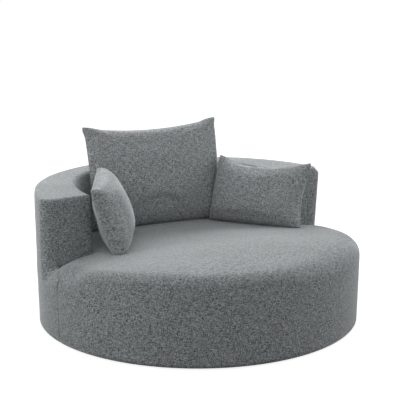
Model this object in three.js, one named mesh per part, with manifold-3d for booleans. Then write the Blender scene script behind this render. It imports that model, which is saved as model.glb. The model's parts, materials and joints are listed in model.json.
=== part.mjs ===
// Round cuddle chair: a drum seat with a crescent back, loose cushions and a hidden turntable.
// Millimetres, +Z up, the sitter faces -Y, origin on the floor under the drum's centre.
import * as THREE from 'three';
import { mergeVertices } from 'three/addons/utils/BufferGeometryUtils.js';
import Module from 'manifold-3d';

const wasm = await Module();
wasm.setup();

// Clearances
const restGap = 0.3;
const overrun = 20;

// Drum
const drumRadius = 650;
const drumFlare = 6;
const drumFlareHeight = 260;
const hemHeight = 8;
const coverThickness = 4;
const paddingThickness = 18;
const panelThickness = 3;

// Seat top
const seatRearHeight = 324;
const seatCrown = 52;
const seatFrontRise = 72;
const seatRiseStart = 228;
const seatRiseLength = 716;
const rimRoundWidth = 97;
const rimRoundHeight = 62;

// Crescent back
const backHeight = 535;
const backDepth = 95;
const backInnerOffset = 128;
const backInnerLean = 15;
const backEndOffset = 78;
const backEdgeRound = 16;
const backOuterCornerRadius = 42;
const backInnerCornerRadius = 18;
const sharpCornerRadius = 2;
const backFoamThickness = 19;

// Timber frame
const boardThickness = 18;
const deckHeight = 180;
const seatRingWidth = 75;
const postWidth = 40;
const postDepth = 30;
const postInset = 14;
const frontPostCount = 5;
const rearPostCount = 3;
const frontPostSpread = THREE.MathUtils.degToRad(130);
const rearPostSpread = THREE.MathUtils.degToRad(100);
const ribCount = 7;
const ribThickness = 18;
const ribSpread = THREE.MathUtils.degToRad(140);

// Seat suspension
const springCount = 4;
const springSideMargin = 37;
const springWireRadius = 2.2;
const springSwing = 26;
const springPitch = 44;
const springBearing = 30;
const springPadThickness = 2;

// Turntable and floor base
const glideHeight = 6;
const glideRadius = 20;
const glideCount = 6;
const glideInset = 18;
const baseBoardSetback = 260;
const baseBoardThickness = 15;
const plateSize = 305;
const plateThickness = 2;
const plateHoleRadius = 60;
const ballCount = 12;
const ballRadius = 4;
const ballCircleRadius = 115;
const cageWidth = 5;
const cageThickness = 1.6;
const plateScrewInset = 22;
const screwRadius = 2.6;
const screwHeadRadius = 5;
const screwHeadHeight = 2.4;
const screwLength = 12;
const screwHoleGap = 0.3;
const dustCoverThickness = 1;
const dustCoverMargin = 12;

// Cushions. Each one's place is measured along the back's inner face, anticlockwise from its middle,
// and as its lower edge's standoff from that face. It faces the middle of the seat before its twist.
const backCushion = {
  width: 592,
  height: 438,
  thickness: 190,
  sideDraw: 24,
  topDraw: 30,
  bottomDraw: 8,
  sink: 6,
  columns: 18,
  rows: 14,
  arcLength: 16,
  standoff: 223,
  twist: THREE.MathUtils.degToRad(-10.2),
  lean: THREE.MathUtils.degToRad(12),
};

// Arm pillows: a pair of one size, each as it was set down
const pillow = {
  width: 440,
  height: 286,
  thickness: 160,
  sideDraw: 12,
  topDraw: 24,
  bottomDraw: 6,
  sink: 4,
  columns: 14,
  rows: 10,
};
const leftPillow = {
  ...pillow,
  arcLength: 743,
  standoff: 120,
  twist: THREE.MathUtils.degToRad(-39.7),
  lean: THREE.MathUtils.degToRad(20),
};
const rightPillow = {
  ...pillow,
  arcLength: -744,
  standoff: 112,
  twist: THREE.MathUtils.degToRad(38.9),
  lean: THREE.MathUtils.degToRad(19),
};

// Cushion making
const cushionCover = 3;
const cushionEdgeSoftness = 0.46;
const zipLength = 240;
const zipWidth = 7;

// Facets, and the radius shares of the rings on the seat's top
const drumSides = 48;
const arcSides = 20;
const discSides = 32;
const screwSides = 8;
const glideSides = 16;
const ballSides = 6;
const ballBands = 4;
const wireSides = 4;
const wireStepsPerTurn = 3;
const cornerSteps = 2;
const outerCornerSteps = 4;
const edgeSteps = 3;
const fineRingShares = [0.35, 0.62, 0.8, 0.9, 0.955, 0.988, 1];
const plainRingShares = [0.6, 0.85, 0.95, 1];

// Colours, roughness and metalness
const materials = {
  fabric: new THREE.MeshStandardMaterial({ color: 0x7d8384, roughness: 0.95, metalness: 0 }),
  foam: new THREE.MeshStandardMaterial({ color: 0xe3dcc6, roughness: 0.9, metalness: 0 }),
  wadding: new THREE.MeshStandardMaterial({ color: 0xeeeeea, roughness: 0.95, metalness: 0 }),
  timber: new THREE.MeshStandardMaterial({ color: 0xb98f5e, roughness: 0.7, metalness: 0 }),
  fibreboard: new THREE.MeshStandardMaterial({ color: 0x8f6e4a, roughness: 0.8, metalness: 0 }),
  steel: new THREE.MeshStandardMaterial({ color: 0x9a9da0, roughness: 0.4, metalness: 1 }),
  lining: new THREE.MeshStandardMaterial({ color: 0x1c1c1d, roughness: 0.95, metalness: 0 }),
  plastic: new THREE.MeshStandardMaterial({ color: 0x2a2a2b, roughness: 0.6, metalness: 0 }),
};

// Heights worked out from the sizes above
const baseBoardTop = glideHeight + baseBoardThickness;
const lowerPlateTop = baseBoardTop + plateThickness;
const ballCentreHeight = lowerPlateTop + restGap + ballRadius;
const upperPlateBottom = ballCentreHeight + ballRadius + restGap;
const bottomBoardBottom = upperPlateBottom + plateThickness;
const bottomBoardTop = bottomBoardBottom + boardThickness;
const hemTop = hemHeight + coverThickness;
const seatRingBottom = deckHeight - boardThickness;
const springHeight = deckHeight + restGap + springWireRadius;
const springPadBottom = springHeight + springWireRadius + restGap;
const springPadTop = springPadBottom + springPadThickness;
const seatFoamBottom = springPadTop + restGap;

// Radii of the layers of the drum's side, from the cloth inwards
const paddingOuterRadius = drumRadius - coverThickness - restGap;
const paddingInnerRadius = paddingOuterRadius - paddingThickness;
const panelOuterRadius = paddingInnerRadius - restGap;
const panelInnerRadius = panelOuterRadius - panelThickness;
const boardRadius = panelInnerRadius - restGap;
const hemInnerRadius = boardRadius + restGap;
const backInnerRadius = drumRadius - backDepth - backInnerOffset;
const baseBoardRadius = drumRadius - baseBoardSetback;

// Insets of the layers of the crescent back, from the cloth inwards
const backFoamInset = coverThickness + restGap;
const backPanelInset = backFoamInset + backFoamThickness + restGap;
const backCoreInset = backPanelInset + panelThickness + restGap;

// Turns a geometry into a solid for joining and cutting.
function solidOf(geometry) {
  const plain = geometry.index ? geometry.toNonIndexed() : geometry.clone();
  for (const name of Object.keys(plain.attributes)) {
    if (name !== 'position') plain.deleteAttribute(name);
  }
  const merged = mergeVertices(plain);
  return new wasm.Manifold(new wasm.Mesh({
    numProp: 3,
    vertProperties: new Float32Array(merged.attributes.position.array),
    triVerts: new Uint32Array(merged.index.array),
  }));
}

// Turns a solid back into a geometry.
function geometryOf(solid) {
  const mesh = solid.getMesh();
  const geometry = new THREE.BufferGeometry();
  geometry.setAttribute('position', new THREE.BufferAttribute(new Float32Array(mesh.vertProperties), 3));
  geometry.setIndex(new THREE.BufferAttribute(new Uint32Array(mesh.triVerts), 1));
  geometry.computeVertexNormals();
  return geometry;
}

function namedMesh(name, geometry, material) {
  const mesh = new THREE.Mesh(geometry, material);
  mesh.name = name;
  return mesh;
}

function solidMesh(name, solid, material) {
  return namedMesh(name, geometryOf(solid), material);
}

// Joins rings of equal count, from the lowest to the highest, into one closed body.
// An end closes to its tip point, or without one as a flat face.
function loft(rings, lowTip, highTip) {
  const count = rings[0].length;
  const points = rings.flat();
  const faces = [];
  for (let level = 0; level + 1 < rings.length; level++) {
    for (let i = 0; i < count; i++) {
      const next = (i + 1) % count;
      const a = level * count + i;
      const b = level * count + next;
      faces.push(a, b, b + count, a, b + count, a + count);
    }
  }
  const close = (ring, first, tip, upwards) => {
    let triangles;
    if (tip) {
      points.push(tip);
      triangles = ring.map((_, i) => [first + i, first + (i + 1) % count, points.length - 1]);
    } else {
      const outline = ring.map((p) => new THREE.Vector2(p.x, p.y));
      triangles = THREE.ShapeUtils.triangulateShape(outline, []).map((t) => t.map((i) => first + i));
    }
    for (const [a, b, c] of triangles) faces.push(...(upwards ? [a, b, c] : [a, c, b]));
  };
  close(rings[0], 0, lowTip, false);
  close(rings[rings.length - 1], (rings.length - 1) * count, highTip, true);
  const geometry = new THREE.BufferGeometry();
  const coordinates = points.flatMap((p) => [p.x, p.y, p.z]);
  geometry.setAttribute('position', new THREE.Float32BufferAttribute(coordinates, 3));
  geometry.setIndex(faces);
  geometry.computeVertexNormals();
  return geometry;
}

// A body turned about an upright axis through (0, centreY), from [radius, height] pairs.
function turned(profile, sides, centreY = 0) {
  const points = profile.map(([radius, height]) => new THREE.Vector2(radius, height));
  const geometry = new THREE.LatheGeometry(points, sides);
  geometry.rotateX(Math.PI / 2);
  geometry.translate(0, centreY, 0);
  return geometry;
}

function disc(radius, low, high, sides = discSides) {
  return turned([[0, low], [radius, low], [radius, high], [0, high]], sides);
}

// A ring whose inner and outer radii may change from its low to its high edge.
function ringBand(inner, outer, low, high, sides, centreY = 0, innerHigh = inner, outerHigh = outer) {
  const profile = [[inner, low], [outer, low], [outerHigh, high], [innerHigh, high], [inner, low]];
  return turned(profile, sides, centreY);
}

function slab(x0, x1, y0, y1, z0, z1) {
  const geometry = new THREE.BoxGeometry(x1 - x0, y1 - y0, z1 - z0);
  geometry.translate((x0 + x1) / 2, (y0 + y1) / 2, (z0 + z1) / 2);
  return geometry;
}

// Points of an arc, both ends included.
function arc(centreX, centreY, radius, start, end, steps) {
  const points = [];
  for (let i = 0; i <= steps; i++) {
    const angle = start + (end - start) * i / steps;
    points.push(new THREE.Vector2(centreX + radius * Math.cos(angle), centreY + radius * Math.sin(angle)));
  }
  return points;
}

// Points of an arc about the drum's axis, with corners where the drum's own facets have theirs.
function drumArc(radius, start, end) {
  const step = 2 * Math.PI / drumSides;
  const angles = [start];
  for (let i = Math.ceil(start / step); i * step < end; i++) {
    if (i * step > start) angles.push(i * step);
  }
  angles.push(end);
  return angles.map((angle) => new THREE.Vector2(radius * Math.cos(angle), radius * Math.sin(angle)));
}

// Radius of the drum's side at a height: it widens a little from the hem up to the flare's height.
function drumRadiusAt(height) {
  const rise = (height - hemHeight) / (drumFlareHeight - hemHeight);
  return drumRadius + drumFlare * Math.min(rise, 1);
}

// Radius of the back's inner face at a height: it leans back above the seat.
function backInnerRadiusAt(height) {
  const rise = (height - deckHeight) / (backHeight - deckHeight);
  return backInnerRadius + backInnerLean * Math.max(rise, 0);
}

// Height of the seat's surface, at a share of the rim radius and an angle round the drum.
// The crown falls away towards the rim, and the front stands higher than the rear.
function seatHeight(share, angle) {
  const depth = share * drumRadius * Math.sin(angle);
  const rise = THREE.MathUtils.smoothstep(seatRiseStart - depth, 0, seatRiseLength);
  const open = seatRearHeight - seatCrown * share ** 2 + seatFrontRise * rise;
  const rimShare = rimRoundWidth / drumRadius;
  const over = THREE.MathUtils.clamp((share - 1 + rimShare) / rimShare, 0, 1);
  return open - rimRoundHeight * (1 - Math.sqrt(1 - over ** 2));
}

// The drum with its crowned top, drawn in by an inset all over, down to a floor level.
function drumBody(inset, low, topShares) {
  const lowest = low + coverThickness;
  const surface = (share, angle) => Math.max(seatHeight(share, angle) - inset, lowest);
  const ringAt = (share, heightOf) => {
    const ring = [];
    for (let i = 0; i < drumSides; i++) {
      const angle = 2 * Math.PI * i / drumSides;
      const rim = drumRadiusAt(share ? surface(1, angle) : low) - inset;
      const radius = (share || 1) * rim;
      ring.push(new THREE.Vector3(radius * Math.cos(angle), radius * Math.sin(angle), heightOf(angle)));
    }
    return ring;
  };
  const rings = [ringAt(0, () => low)];
  for (const share of [...topShares].reverse()) {
    rings.push(ringAt(share, (angle) => surface(share, angle)));
  }
  return loft(rings, new THREE.Vector3(0, 0, low), new THREE.Vector3(0, 0, seatHeight(0, 0) - inset));
}

// Plan outline of the crescent back at a height, drawn in by an inset, anticlockwise.
function crescentOutline(inset, height, steps) {
  const outer = drumRadiusAt(height) - inset;
  const inner = backInnerRadiusAt(height) + inset;
  const end = backEndOffset + inset;
  const outerCorner = Math.max(backOuterCornerRadius - inset, sharpCornerRadius);
  const innerCorner = Math.max(backInnerCornerRadius - inset, sharpCornerRadius);
  const outerY = end + outerCorner;
  const outerX = Math.sqrt((outer - outerCorner) ** 2 - outerY ** 2);
  const innerY = end + innerCorner;
  const innerX = Math.sqrt((inner + innerCorner) ** 2 - (innerY - backInnerOffset) ** 2);
  const outerAngle = Math.atan2(outerY, outerX);
  const innerAngle = Math.atan2(innerY - backInnerOffset, innerX);
  const half = Math.PI / 2;
  return [
    ...arc(innerX, innerY, innerCorner, innerAngle + Math.PI, 3 * half, cornerSteps),
    ...arc(outerX, outerY, outerCorner, -half, outerAngle, outerCornerSteps),
    ...drumArc(outer, outerAngle, Math.PI - outerAngle).slice(1, -1),
    ...arc(-outerX, outerY, outerCorner, Math.PI - outerAngle, 3 * half, outerCornerSteps),
    ...arc(-innerX, innerY, innerCorner, -half, -innerAngle, cornerSteps),
    ...arc(0, backInnerOffset, inner, Math.PI - innerAngle, innerAngle, steps).slice(1, -1),
  ];
}

// The whole crescent back as one body with a rounded top edge, drawn in by an inset.
function crescentBody(inset, low, steps = arcSides) {
  const top = backHeight - inset;
  const round = Math.max(backEdgeRound - inset, sharpCornerRadius);
  const levels = [[low, 0], [deckHeight, 0], [drumFlareHeight, 0], [top - round, 0]];
  const roundSteps = round > sharpCornerRadius ? edgeSteps : 1;
  for (let i = 1; i <= roundSteps; i++) {
    const angle = Math.PI / 2 * i / roundSteps;
    levels.push([top - round * (1 - Math.sin(angle)), round * (1 - Math.cos(angle))]);
  }
  return loft(levels.map(([height, extra]) => (
    crescentOutline(inset + extra, height, steps).map((p) => new THREE.Vector3(p.x, p.y, height))
  )));
}

// Plan outline of the hole in the timber seat ring, under the springs.
function seatRingHole() {
  const outer = boardRadius - seatRingWidth;
  const inner = backInnerRadius - seatRingWidth;
  const end = backEndOffset - seatRingWidth;
  const outerAngle = Math.asin(end / outer);
  const innerAngle = Math.asin((end - backInnerOffset) / inner);
  return [
    ...arc(0, 0, outer, Math.PI - outerAngle, 2 * Math.PI + outerAngle, 2 * arcSides),
    ...arc(0, backInnerOffset, inner, innerAngle, Math.PI - innerAngle, arcSides),
  ];
}

const halfSpan = drumRadius + drumFlare + overrun;
const frontEdge = backEndOffset - restGap;
const frontSide = solidOf(slab(-halfSpan, halfSpan, -halfSpan, frontEdge, -overrun, backHeight));
const crescentWithGap = solidOf(crescentBody(-restGap, -overrun));

function halfTurnAngles(count, spread, middle) {
  return Array.from({ length: count }, (_, i) => middle + spread * (i / (count - 1) - 0.5));
}

// Floor base: a round board on glides that carries the lower half of the turntable.
function screwPlaces() {
  const reach = plateSize / 2 - plateScrewInset;
  return [[1, 1], [-1, 1], [-1, -1], [1, -1]].map(([x, y]) => [x * reach, y * reach]);
}

function screwHoles(low, high) {
  return screwPlaces().map(([x, y]) => {
    const hole = disc(screwRadius + screwHoleGap, low, high, screwSides);
    hole.translate(x, y, 0);
    return solidOf(hole);
  });
}

function cutAll(solid, cutters) {
  return cutters.reduce((rest, cutter) => rest.subtract(cutter), solid);
}

function turntablePlate(name, low) {
  const half = plateSize / 2;
  const plate = solidOf(slab(-half, half, -half, half, low, low + plateThickness))
    .subtract(solidOf(disc(plateHoleRadius, low - overrun, low + overrun)));
  return solidMesh(name, cutAll(plate, screwHoles(low - overrun, low + overrun)), materials.steel);
}

// A screw whose head rests on a plate face at a height; it points up or down into a board.
function turntableScrew(name, x, y, headFace, upwards) {
  const geometry = turned([
    [0, -screwHeadHeight],
    [screwHeadRadius, -screwHeadHeight],
    [screwHeadRadius, 0],
    [screwRadius, 0],
    [screwRadius, screwLength - screwRadius],
    [0, screwLength],
  ], screwSides);
  const mesh = namedMesh(name, geometry, materials.steel);
  mesh.position.set(x, y, headFace);
  if (!upwards) mesh.rotation.x = Math.PI;
  return mesh;
}

function ballRace() {
  const cageBottom = ballCentreHeight - cageThickness / 2;
  const inner = ballCircleRadius - cageWidth / 2;
  const outer = ballCircleRadius + cageWidth / 2;
  let race = solidOf(ringBand(inner, outer, cageBottom, cageBottom + cageThickness, discSides));
  for (let i = 0; i < ballCount; i++) {
    const angle = 2 * Math.PI * i / ballCount;
    const ball = new THREE.SphereGeometry(ballRadius, ballSides, ballBands);
    ball.rotateX(Math.PI / 2);
    ball.translate(ballCircleRadius * Math.cos(angle), ballCircleRadius * Math.sin(angle), ballCentreHeight);
    race = race.add(solidOf(ball));
  }
  return solidMesh('turntable_ball_race', race, materials.steel);
}

function floorBase() {
  const group = new THREE.Group();
  const holeBottom = lowerPlateTop - screwLength - restGap;
  const board = cutAll(
    solidOf(disc(baseBoardRadius, glideHeight, baseBoardTop, drumSides)),
    screwHoles(holeBottom, lowerPlateTop),
  );
  group.add(solidMesh('base_board', board, materials.timber));
  for (let i = 0; i < glideCount; i++) {
    const angle = 2 * Math.PI * (i + 0.5) / glideCount;
    const reach = baseBoardRadius - glideInset - glideRadius;
    const foot = disc(glideRadius, 0, glideHeight, glideSides);
    const glide = namedMesh(`floor_glide_${i + 1}`, foot, materials.plastic);
    glide.position.set(reach * Math.cos(angle), reach * Math.sin(angle), 0);
    group.add(glide);
  }
  group.add(turntablePlate('turntable_lower_plate', baseBoardTop));
  screwPlaces().forEach(([x, y], i) => {
    group.add(turntableScrew(`turntable_lower_screw_${i + 1}`, x, y, lowerPlateTop + restGap, false));
  });
  group.add(ballRace());
  return group;
}

// Timber frame of the drum
function bottomBoard() {
  const holeTop = upperPlateBottom + screwLength + restGap;
  const board = solidOf(disc(boardRadius, bottomBoardBottom, bottomBoardTop, drumSides));
  return solidMesh('bottom_board', cutAll(board, screwHoles(upperPlateBottom, holeTop)), materials.timber);
}

function seatRing() {
  const hole = new THREE.ExtrudeGeometry(
    new THREE.Shape(seatRingHole()),
    { depth: boardThickness + 2 * overrun, bevelEnabled: false },
  );
  hole.translate(0, 0, seatRingBottom - overrun);
  const ring = solidOf(disc(boardRadius, seatRingBottom, deckHeight, drumSides))
    .subtract(crescentWithGap)
    .subtract(solidOf(hole));
  return solidMesh('seat_ring', ring, materials.timber);
}

function drumPosts() {
  const group = new THREE.Group();
  const height = seatRingBottom - bottomBoardTop;
  const place = (centreY, radius, angle) => {
    const post = new THREE.Mesh(new THREE.BoxGeometry(postDepth, postWidth, height), materials.timber);
    post.name = `drum_post_${group.children.length + 1}`;
    const y = centreY + radius * Math.sin(angle);
    post.position.set(radius * Math.cos(angle), y, bottomBoardTop + height / 2);
    post.rotation.z = angle;
    group.add(post);
  };
  for (const angle of halfTurnAngles(frontPostCount, frontPostSpread, -Math.PI / 2)) {
    place(0, boardRadius - postInset - postDepth / 2, angle);
  }
  for (const angle of halfTurnAngles(rearPostCount, rearPostSpread, Math.PI / 2)) {
    place(backInnerOffset, backInnerRadius - postInset - postDepth / 2, angle);
  }
  return group;
}

// Sinuous springs run from front to back and bear on the seat ring.
function seatSprings() {
  const group = new THREE.Group();
  const section = new THREE.Shape(arc(0, 0, springWireRadius, 0, 2 * Math.PI, wireSides).slice(0, -1));
  const frontHole = boardRadius - seatRingWidth;
  const rearHole = backInnerRadius - seatRingWidth;
  for (let n = 0; n < springCount; n++) {
    const x = (rearHole - springSideMargin) * (2 * n / (springCount - 1) - 1);
    const front = -Math.sqrt(frontHole ** 2 - x ** 2) - springBearing;
    const rear = backInnerOffset + Math.sqrt(rearHole ** 2 - x ** 2) + springBearing;
    const turns = Math.round((rear - front) / springPitch);
    const points = [];
    for (let i = 0; i <= turns; i++) {
      const side = i === 0 || i === turns ? 0 : springSwing * (i % 2 ? 1 : -1);
      points.push(new THREE.Vector3(x + side, front + (rear - front) * i / turns, springHeight));
    }
    const wire = new THREE.ExtrudeGeometry(section, {
      steps: wireStepsPerTurn * turns,
      extrudePath: new THREE.CatmullRomCurve3(points),
      bevelEnabled: false,
    });
    group.add(namedMesh(`seat_spring_${n + 1}`, wire, materials.steel));
  }
  return group;
}

function springPad() {
  const pad = solidOf(disc(boardRadius, springPadBottom, springPadTop, drumSides)).subtract(crescentWithGap);
  return solidMesh('spring_pad', pad, materials.lining);
}

// Upholstery of the drum
function seatFoam() {
  const foam = solidOf(drumBody(coverThickness + restGap, seatFoamBottom, plainRingShares));
  return solidMesh('seat_foam', foam.subtract(crescentWithGap), materials.foam);
}

// The opening that a turned-in hem leaves under the drum.
function hemOpening(high) {
  return solidOf(disc(hemInnerRadius, -overrun, high, drumSides));
}

function seatCover() {
  const cloth = solidOf(drumBody(0, hemHeight, fineRingShares))
    .subtract(solidOf(drumBody(coverThickness, hemTop, plainRingShares)))
    .subtract(hemOpening(hemTop + overrun))
    .subtract(crescentWithGap);
  return solidMesh('seat_cover', cloth, materials.fabric);
}

function sidePadding() {
  const band = ringBand(
    paddingInnerRadius, paddingOuterRadius, hemTop + restGap, seatFoamBottom - restGap, drumSides, 0,
    paddingInnerRadius, drumRadiusAt(seatFoamBottom) - coverThickness - restGap,
  );
  return solidMesh('side_padding', solidOf(band).subtract(crescentWithGap), materials.wadding);
}

function sidePanel() {
  const band = ringBand(panelInnerRadius, panelOuterRadius, hemTop + restGap, deckHeight, drumSides);
  return solidMesh('side_panel', solidOf(band).intersect(frontSide), materials.fibreboard);
}

function dustCover() {
  const high = bottomBoardBottom - restGap;
  const inner = plateSize / Math.SQRT2 + dustCoverMargin;
  const outer = boardRadius - dustCoverMargin;
  const sheet = ringBand(inner, outer, high - dustCoverThickness, high, discSides);
  return namedMesh('dust_cover', sheet, materials.lining);
}

// Timber frame and upholstery of the crescent back
const backCore = solidOf(crescentBody(backCoreInset, bottomBoardTop));
const backCoreTop = backHeight - backCoreInset;
const railBottom = backCoreTop - boardThickness;

function backRail() {
  const reach = solidOf(slab(-halfSpan, halfSpan, 0, halfSpan, railBottom, backHeight));
  return solidMesh('back_top_rail', backCore.intersect(reach), materials.timber);
}

function backRibs() {
  const group = new THREE.Group();
  halfTurnAngles(ribCount, ribSpread, Math.PI / 2).forEach((angle, i) => {
    const blade = slab(0, halfSpan, -ribThickness / 2, ribThickness / 2, 0, railBottom);
    blade.rotateZ(angle);
    group.add(solidMesh(`back_rib_${i + 1}`, backCore.intersect(solidOf(blade)), materials.timber));
  });
  return group;
}

// Bent sheets on the inner and outer edges of the ribs, parted by a cylinder that runs between them.
function backPanels() {
  const high = railBottom;
  const keep = solidOf(slab(
    -halfSpan, halfSpan, backEndOffset + backCoreInset, halfSpan, -overrun, high,
  ));
  const sheets = solidOf(crescentBody(backPanelInset, bottomBoardTop))
    .subtract(solidOf(crescentBody(backPanelInset + panelThickness, bottomBoardTop - overrun)))
    .intersect(keep);
  const partingRadius = (backInnerRadiusAt(high) + drumRadius - backInnerOffset) / 2;
  const parting = disc(partingRadius, -overrun, backHeight, drumSides);
  parting.translate(0, backInnerOffset, 0);
  const group = new THREE.Group();
  group.add(solidMesh('back_inner_panel', sheets.intersect(solidOf(parting)), materials.fibreboard));
  group.add(solidMesh('back_outer_panel', sheets.subtract(solidOf(parting)), materials.fibreboard));
  return group;
}

function backFoam() {
  const foam = solidOf(crescentBody(backFoamInset, bottomBoardTop))
    .subtract(solidOf(crescentBody(backFoamInset + backFoamThickness, bottomBoardTop - overrun)));
  return solidMesh('back_foam', foam, materials.foam);
}

// The back's cloth reaches the hem only outside; its inner sheet ends at the deck.
function backCover() {
  const cloth = solidOf(crescentBody(0, hemHeight))
    .subtract(solidOf(crescentBody(coverThickness, hemTop)))
    .subtract(hemOpening(deckHeight));
  return solidMesh('back_cover', cloth, materials.fabric);
}

// Cushions
// A knife-edged cushion standing on its lower edge, facing -Y: its sides are drawn in between
// the corners, and it is drawn in all over by an inset.
function cushionBody(size, inset, columns, rows) {
  const halfWidth = size.width / 2 - inset;
  const halfHeight = size.height / 2 - inset;
  const halfThickness = size.thickness / 2 - inset;
  const spread = (i, n) => Math.sin(Math.PI / 2 * (2 * i / n - 1));
  const pointAt = (i, j, face) => {
    const u = spread(i, columns);
    const v = spread(j, rows);
    const draw = v < 0 ? size.bottomDraw : size.topDraw;
    const x = u * (halfWidth - size.sideDraw * (1 - v ** 2) * u ** 2);
    const y = face * halfThickness * ((1 - u ** 2) * (1 - v ** 2)) ** cushionEdgeSoftness;
    const z = v * (halfHeight - draw * (1 - u ** 2) * v ** 2);
    return [x, y, z + size.height / 2];
  };
  const positions = [];
  for (const face of [-1, 1]) {
    for (let i = 0; i < columns; i++) {
      for (let j = 0; j < rows; j++) {
        const corners = [[i, j], [i + 1, j], [i + 1, j + 1], [i, j + 1]].map(([a, b]) => pointAt(a, b, face));
        const [a, b, c, d] = face < 0 ? corners : corners.reverse();
        positions.push(...a, ...b, ...c, ...a, ...c, ...d);
      }
    }
  }
  const geometry = new THREE.BufferGeometry();
  geometry.setAttribute('position', new THREE.Float32BufferAttribute(positions, 3));
  return geometry;
}

// Places a cushion's group on the seat: leant back, then turned about the upright axis.
function cushionGroup(size) {
  const group = new THREE.Group();
  const reach = backInnerRadius - size.standoff;
  const bearing = size.arcLength / backInnerRadius;
  const x = -reach * Math.sin(bearing);
  const y = backInnerOffset + reach * Math.cos(bearing);
  const height = seatHeight(Math.hypot(x, y) / drumRadius, Math.atan2(y, x));
  group.position.set(x, y, height - size.sink);
  group.rotation.set(-size.lean, 0, bearing + size.twist, 'ZYX');
  group.updateMatrixWorld();
  return group;
}

// What a cushion rests on, grown by an inset: the seat, the back and, under a pillow, the back cushion.
function cushionSupports(size, inset) {
  const supports = [drumBody(-inset, hemHeight, fineRingShares), crescentBody(-inset, hemHeight)];
  if (size !== backCushion) {
    const behind = cushionBody(backCushion, -inset, backCushion.columns, backCushion.rows);
    supports.push(behind.applyMatrix4(cushionGroup(backCushion).matrixWorld));
  }
  return supports;
}

// A cushion's cloth, filling and zip. What it rests on presses it flat.
function cushion(name, size) {
  const group = cushionGroup(size);
  const intoGroup = group.matrixWorld.clone().invert();
  const pressed = (inset, columns, rows) => {
    const supports = cushionSupports(size, restGap + inset);
    const cutters = supports.map((geometry) => solidOf(geometry.applyMatrix4(intoGroup)));
    return cutAll(solidOf(cushionBody(size, inset, columns, rows)), cutters);
  };
  const zipPlace = (gap) => {
    const reach = zipLength / 2 - gap;
    const half = zipWidth / 2 - gap;
    const high = size.bottomDraw + 2 * cushionCover - gap;
    return solidOf(slab(-reach, reach, -half, half, -overrun, high));
  };
  const outside = pressed(0, size.columns, size.rows);
  const skin = outside.subtract(pressed(cushionCover, size.columns / 2, size.rows / 2));
  const filling = pressed(cushionCover + restGap, size.columns / 2, size.rows / 2);
  group.add(solidMesh(`${name}_cover`, skin.subtract(zipPlace(0)), materials.fabric));
  group.add(solidMesh(`${name}_filling`, filling, materials.wadding));
  group.add(solidMesh(`${name}_zip`, skin.intersect(zipPlace(restGap)), materials.plastic));
  return group;
}

const chair = new THREE.Group();
chair.add(floorBase());
chair.add(turntablePlate('turntable_upper_plate', upperPlateBottom));
screwPlaces().forEach(([x, y], i) => {
  chair.add(turntableScrew(`turntable_upper_screw_${i + 1}`, x, y, upperPlateBottom - restGap, true));
});
chair.add(bottomBoard(), drumPosts(), seatRing(), seatSprings(), springPad());
chair.add(seatFoam(), seatCover(), sidePadding(), sidePanel(), dustCover());
chair.add(backRail(), backRibs(), backPanels(), backFoam(), backCover());
chair.add(cushion('back_cushion', backCushion));
chair.add(cushion('left_pillow', leftPillow));
chair.add(cushion('right_pillow', rightPillow));

export default chair;
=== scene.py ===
import json
import math
from contextlib import contextmanager

import bmesh
import bpy
import numpy as np
from mathutils import Matrix, Vector
from mathutils.bvhtree import BVHTree


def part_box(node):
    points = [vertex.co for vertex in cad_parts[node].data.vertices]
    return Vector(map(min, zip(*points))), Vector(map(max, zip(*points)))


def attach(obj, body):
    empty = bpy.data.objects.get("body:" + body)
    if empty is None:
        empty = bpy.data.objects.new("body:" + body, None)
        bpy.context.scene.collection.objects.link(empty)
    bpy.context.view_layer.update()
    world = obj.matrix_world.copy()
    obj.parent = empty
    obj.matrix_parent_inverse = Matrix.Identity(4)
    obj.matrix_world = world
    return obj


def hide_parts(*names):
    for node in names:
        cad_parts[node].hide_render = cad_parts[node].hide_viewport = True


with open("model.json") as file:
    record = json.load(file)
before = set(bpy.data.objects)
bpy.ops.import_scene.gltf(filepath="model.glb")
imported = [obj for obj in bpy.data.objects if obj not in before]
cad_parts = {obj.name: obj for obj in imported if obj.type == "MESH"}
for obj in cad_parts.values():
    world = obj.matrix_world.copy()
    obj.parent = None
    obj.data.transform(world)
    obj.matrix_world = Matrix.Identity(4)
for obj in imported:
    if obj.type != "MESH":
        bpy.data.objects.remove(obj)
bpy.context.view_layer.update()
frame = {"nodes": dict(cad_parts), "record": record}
scene = bpy.context.scene

# Sizes of the drum
DRUM_RADIUS = 0.650
DRUM_FLARE = 0.006
WIDEST_RADIUS = DRUM_RADIUS + DRUM_FLARE
FLARE_HEIGHT = 0.260
HEM_HEIGHT = 0.008
HEM_DEPTH = 0.024
CLOTH_THICKNESS = 0.004
FOAM_DEPTH = CLOTH_THICKNESS + 0.0022
SIDE_CLOTH = 0.262

# Sizes of the seat; a share is a part of the drum's radius
SEAT_REAR_HEIGHT = 0.324
SEAT_CROWN = 0.052
SEAT_FRONT_RISE = 0.072
SEAT_RISE_FROM = 0.228
SEAT_RISE_TO = -0.488
SEAT_EDGE_LIFT = 0.013
SEAT_EDGE_SHARE = 0.6

# The rim's roll, which is tight in front and slack at the right and at the left corner,
# and the cosines of the plan angles between which it slackens
TIGHT_RIM_WIDTH = 0.045
SLACK_RIM_WIDTH = 0.097
TIGHT_RIM_DROP = 0.030
SLACK_RIM_DROP = 0.062
SLACKENS_RIGHT = (-0.17, 0.50)
SLACKENS_LEFT = (-0.93, -0.99)

# How the seat's cloth is tucked down beside the back and at the arms' outer front corners
TUCK_DEPTH = 0.006
TUCK_WIDTH = 0.030
CORNER_TUCK_DEPTH = 0.015
CORNER_TUCK_LENGTH = 0.055
CORNER_TUCK_SIDE = (0.48, 0.60)

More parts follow.
